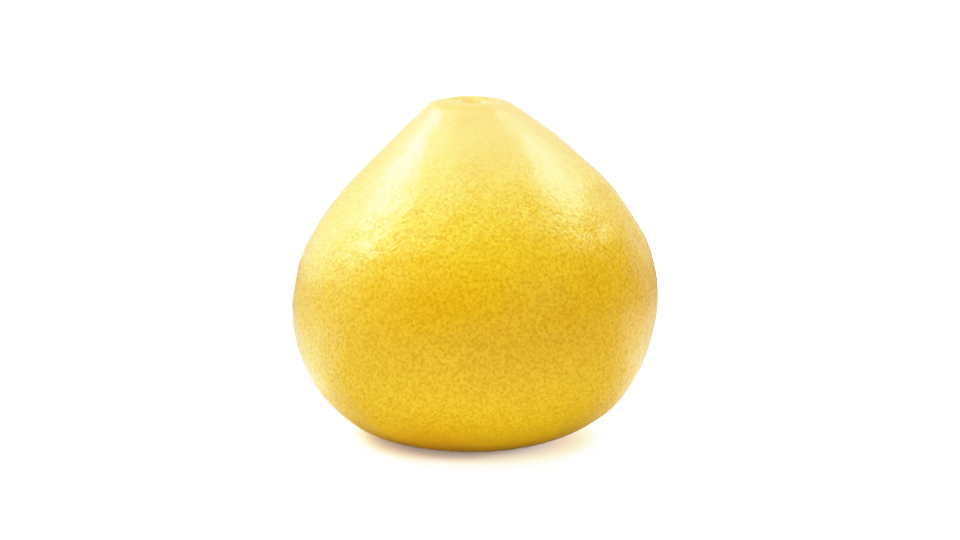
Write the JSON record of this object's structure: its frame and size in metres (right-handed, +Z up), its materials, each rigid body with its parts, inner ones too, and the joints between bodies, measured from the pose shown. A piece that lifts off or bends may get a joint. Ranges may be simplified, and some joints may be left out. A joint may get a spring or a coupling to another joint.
{
  "type": "pomelo",
  "caption": "Whole pear-shaped pomelo with a finely pitted yellow rind, a soft neck with a shallow stem hollow, and a small flat spot that it stands on.",
  "frame": {"origin": "middle of the fruit's width and depth, at the level of the flat spot it stands on", "axes": "+Z up from the blossom end to the stem end; the side shown in the picture faces -Y, with +X to its right"},
  "size_m": [0.15, 0.147, 0.139],
  "materials": {
    "rind": "waxy satin, finely pitted"
  },
  "bodies": {
    "root": {"fruit": "rind"}
  },
  "joints": []
}
